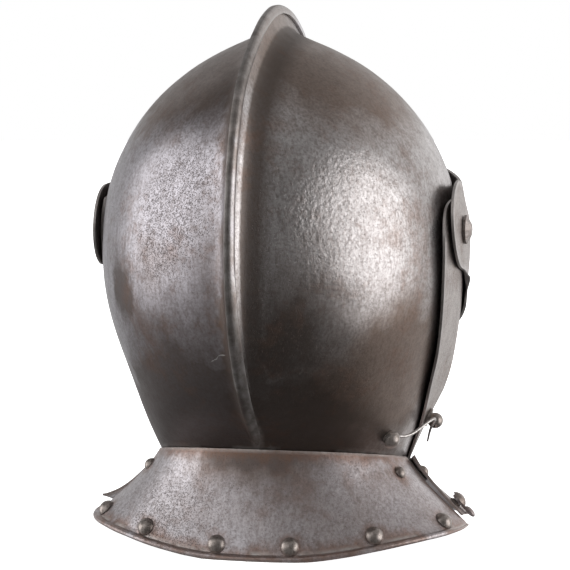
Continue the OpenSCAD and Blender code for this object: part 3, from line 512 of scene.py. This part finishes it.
COLLAR_FILM = (
    ((-0.06, 0.05, 0.02), (0.13, 0.13, 0.08), 0.5),
    ((0.01, 0.07, 0.055), (0.05, 0.04, 0.02), 0.7),
)
COLLAR_DARK = (
    ((0.0, 0.05, 0.066), (0.13, 0.13, 0.018), 1.1),
    ((0.0, 0.085, 0.050), (0.045, 0.04, 0.025), 0.7),
)
COLLAR_PITTED = (((0.055, 0.075, 0.02), (0.05, 0.05, 0.04), 1.3),)
COLLAR_RUST_REACH = 0.013

collar_iron = old_iron(
    "collar iron",
    sheen=(0.52, 0.49, 0.51),
    patina=(0.32, 0.255, 0.23),
    film=COLLAR_FILM,
    dark=COLLAR_DARK,
    pitted=COLLAR_PITTED,
    shine=0.34,
    pits_from=0.3,
    metal=0.8,
    lumps=0.6,
)


def collar_plate(node, name, body):
    """One half of the neck's flared collar, more wavy than the raised plates."""
    flare = plate(node, name, body, wave=0.0004, spacing=0.016, rim_reach=0.0018)
    mark_rim(flare, COLLAR_RUST_REACH, "border")
    flare.data.materials.append(collar_iron)


collar_plate("rear_collar", "rear_collar_plate", "skull")

# Rivets of the skull and the rear collar
# Iron, with heads hammered round in a cupped punch. Small ones join skull and collar, and large ones hold
# the lining and carry the hook.

rivet_iron = old_iron(
    "rivet iron",
    sheen=(0.37, 0.325, 0.30),
    patina=(0.15, 0.115, 0.095),
    shine=0.3,
    metal=0.88,
)


def refinish(material, *nodes):
    """Gives CAD nodes that keep their shape a better finish."""
    for node in nodes:
        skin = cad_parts[node].data
        skin.materials.clear()
        skin.materials.append(material)


refinish(rivet_iron, "rear_joint_rivets", "hook_rivet", "rear_lining_rivets")

# Lining band of the rear collar
# A strip of dark ox hide under the large rivets, to which a quilted lining was once sewn.

HIDE_DARK = (0.045, 0.026, 0.016)
HIDE_PALE = (0.13, 0.075, 0.042)
HIDE_CELLS = 900.0
HIDE_RUBBED_WAVES = 60.0
HIDE_GRAIN_DEPTH = 0.0002
BAND_EDGE = 0.0004
BAND_WAVE = 0.0005
BAND_WAVE_SPACING = 0.012


def hide(name):
    """Old vegetable-tanned leather: a fine cracked grain, rubbed paler in places."""
    material = bpy.data.materials.new(name)
    material.use_nodes = True
    tree = material.node_tree
    shader = tree.nodes["Principled BSDF"]
    place = add_node(tree, "ShaderNodeTexCoord").outputs["Object"]
    grain = add_node(tree, "ShaderNodeTexVoronoi", feature="DISTANCE_TO_EDGE", Scale=HIDE_CELLS)
    tree.links.new(place, grain.inputs["Vector"])
    rubbed = noise_in(tree, place, HIDE_RUBBED_WAVES, detail=5.0, rough=0.65)
    colour = blended(tree, stepped(tree, rubbed, 0.35, 0.7), HIDE_DARK, HIDE_PALE)
    tree.links.new(colour, shader.inputs["Base Color"])
    tree.links.new(stepped(tree, rubbed, 0.3, 0.7, 0.72, 0.5), shader.inputs["Roughness"])
    bump = add_node(tree, "ShaderNodeBump", Strength=0.8, Distance=HIDE_GRAIN_DEPTH)
    tree.links.new(stepped(tree, grain.outputs["Distance"], 0.0, 0.25), bump.inputs["Height"])
    tree.links.new(bump.outputs["Normal"], shader.inputs["Normal"])
    return material


lining_hide = hide("old ox hide")


def lining_band(node, name, body):
    """A hide strip in place of its CAD solid, with softened edges and a wavy surface."""
    band = merged_copy(node, name)
    round_out(band, edge_width=BAND_EDGE)
    hammer(band, BAND_WAVE, BAND_WAVE_SPACING)
    shade_smooth(band)
    band.data.materials.append(lining_hide)
    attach(band, body)
    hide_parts(node)


lining_band("rear_lining_strap", "rear_lining_band", "skull")

# Washers and nuts inside
# Rough iron that was never polished. The rivets' ends are peened over the small washers, and the temple
# bolts end in square nuts.

inner_iron = old_iron(
    "unpolished iron",
    sheen=(0.22, 0.20, 0.19),
    patina=(0.10, 0.08, 0.07),
    shine=0.5,
)
refinish(inner_iron, "rear_lining_washers", "pivot_washers", "pivot_nuts")

# Bevor
# The chin plate, raised from one sheet. It wraps round outside the skull's edge and turns on the bolts.

chin_plate = plate("bevor", "bevor_plate", "bevor")
bevor_iron = old_iron(
    "bevor iron",
    sheen=(0.36, 0.315, 0.295),
    patina=(0.22, 0.17, 0.145),
    shine=0.36,
    pits_from=0.4,
)
chin_plate.data.materials.append(bevor_iron)

# Front collar
# The front half of the neck's flared strip, riveted round the bevor's lower edge. It has rivets, a lining
# band and washers like the rear half, and the bevor carries the hook's pierced stud.

collar_plate("front_collar", "front_collar_plate", "bevor")
refinish(rivet_iron, "front_joint_rivets", "front_lining_rivets", "catch_rivet", "hook_eye")
lining_band("front_lining_strap", "front_lining_band", "bevor")
refinish(inner_iron, "front_lining_washers")

# Visor
# One raised sheet with a keel in front, sights cut through its upper part and breaths punched at both
# sides. A peg on the wearer's right lifts it.

face_plate = plate("visor", "visor_plate", "visor")
visor_iron = old_iron(
    "visor iron",
    sheen=(0.37, 0.325, 0.305),
    patina=(0.23, 0.18, 0.155),
    shine=0.36,
    pits_from=0.4,
)
face_plate.data.materials.append(visor_iron)
refinish(rivet_iron, "lifting_peg")

# Temple bolts
# Iron bolts with faceted heads, filed by hand, on which visor and bevor turn.

refinish(visor_iron, "pivot_bolt_left", "pivot_bolt_right")

# Closing hook
# A bent iron wire, rubbed bright, that swings on its rivet and reaches over the pierced stud on the bevor.

WIRE_CREASE = math.radians(70)
WIRE_SHADED = math.radians(60)

wire_iron = old_iron(
    "bright wire",
    sheen=(0.55, 0.52, 0.50),
    patina=(0.28, 0.23, 0.20),
    shine=0.3,
)
wire = merged_copy("closing_hook", "closing_hook_wire")
round_out(wire, crease_angle=WIRE_CREASE)
shade_smooth(wire, WIRE_SHADED)
wire.data.materials.append(wire_iron)
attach(wire, "hook")
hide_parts("closing_hook")

# Collar catch
# A small iron leaf that turns on its own rivet and locks the two halves of the collar.

refinish(collar_iron, "collar_catch")

# Table
# A wide round table of pale paper that glows evenly. It isn't seen in the iron.

TABLE_RADIUS = 8
PAPER_GREY = (0.86, 0.86, 0.86, 1)
WHITE = (1, 1, 1, 1)

bpy.ops.mesh.primitive_circle_add(vertices=96, radius=TABLE_RADIUS, fill_type="NGON", location=(0, 0, 0))
table = bpy.context.object
table.name = "pale_table"
paper = bpy.data.materials.new("pale paper")
paper.use_nodes = True
paper_finish = paper.node_tree.nodes["Principled BSDF"].inputs
paper_finish["Base Color"].default_value = PAPER_GREY
paper_finish["Roughness"].default_value = 0.9
paper_finish["Emission Color"].default_value = WHITE
paper_finish["Emission Strength"].default_value = 1.0
table.data.materials.append(paper)
table.visible_glossy = False

# Studio walls
# A dim room with bright cloth walls to the left and right of the camera, which give the iron its broad
# soft reflections. To the camera itself, and as light on matt surfaces, the room is plain white.

CAMERA_AZIMUTH = 192
FLOOR_LEVEL = -0.7
CEILING_LEVEL = 0.6
FLOOR_GLOW = 0.04
CEILING_GLOW = 0.13

# Azimuth and rise of each wall's middle, the angles where it is full and where it ends, and its strength
CLOTH_WALLS = (
    (CAMERA_AZIMUTH + 74, 3, 13, 38, 2.2),
    (CAMERA_AZIMUTH + 118, 5, 15, 60, 0.8),
    (CAMERA_AZIMUTH - 97, 7, 12, 34, 1.8),
    (CAMERA_AZIMUTH - 94, -12, 12, 55, 0.35),
    (CAMERA_AZIMUTH - 50, 26, 8, 40, 0.7),
    (CAMERA_AZIMUTH + 20, 80, 10, 50, 0.3),
    (CAMERA_AZIMUTH + 180, 5, 20, 65, 0.5),
)

room = bpy.data.worlds.new("studio room")
bpy.context.scene.world = room
room.use_nodes = True
walls = room.node_tree
walls.nodes.clear()
looking = add_node(walls, "ShaderNodeTexCoord").outputs["Generated"]


def direction(azimuth, rise):
    """The unit vector from the object towards a place at this azimuth and height angle."""
    around = math.radians(azimuth)
    up = math.radians(rise)
    return Vector((math.sin(around) * math.cos(up), -math.cos(around) * math.cos(up), math.sin(up)))


def soft_wall(azimuth, rise, core, reach, strength):
    """A bright cloth wall of the studio: full within the core angle, nothing beyond the reach angle."""
    angle = add_node(walls, "ShaderNodeVectorMath", operation="DOT_PRODUCT")
    walls.links.new(looking, angle.inputs[0])
    angle.inputs[1].default_value = direction(azimuth, rise)
    glow = add_node(walls, "ShaderNodeMapRange", interpolation_type="SMOOTHSTEP")
    glow.inputs["From Min"].default_value = math.cos(math.radians(reach))
    glow.inputs["From Max"].default_value = math.cos(math.radians(core))
    glow.inputs["To Max"].default_value = strength
    walls.links.new(angle.outputs["Value"], glow.inputs["Value"])
    return glow.outputs["Result"]


level = add_node(walls, "ShaderNodeSeparateXYZ")
walls.links.new(looking, level.inputs[0])
brightness = stepped(walls, level.outputs["Z"], FLOOR_LEVEL, CEILING_LEVEL, FLOOR_GLOW, CEILING_GLOW)
for wall in CLOTH_WALLS:
    brightness = joined(walls, "ADD", brightness, soft_wall(*wall))
cloth = add_node(walls, "ShaderNodeBackground", Color=WHITE)
walls.links.new(brightness, cloth.inputs["Strength"])
plain = add_node(walls, "ShaderNodeBackground", Color=WHITE, Strength=1.0)
ray = add_node(walls, "ShaderNodeLightPath").outputs
seen_plain = joined(walls, "MAXIMUM", ray["Is Camera Ray"], ray["Is Diffuse Ray"])
choice = add_node(walls, "ShaderNodeMixShader")
walls.links.new(seen_plain, choice.inputs[0])
walls.links.new(cloth.outputs[0], choice.inputs[1])
walls.links.new(plain.outputs[0], choice.inputs[2])
room_out = add_node(walls, "ShaderNodeOutputWorld")
walls.links.new(choice.outputs[0], room_out.inputs["Surface"])

# Camera
# A long lens a little above the helmet, behind it and to the wearer's right.

CAMERA_RISE = 5
CAMERA_DISTANCE = 1.5
AIM = Vector((-0.0024, 0.009, 0.1522))
LENS_MM = 158
SENSOR_MM = 36

to_camera = direction(CAMERA_AZIMUTH, CAMERA_RISE)
bpy.ops.object.camera_add(location=AIM + to_camera * CAMERA_DISTANCE)
camera = bpy.context.object
camera.rotation_euler = to_camera.to_track_quat("Z", "Y").to_euler()
camera.data.lens = LENS_MM
camera.data.sensor_width = SENSOR_MM
bpy.context.scene.camera = camera
bpy.context.scene.view_settings.view_transform = "Standard"
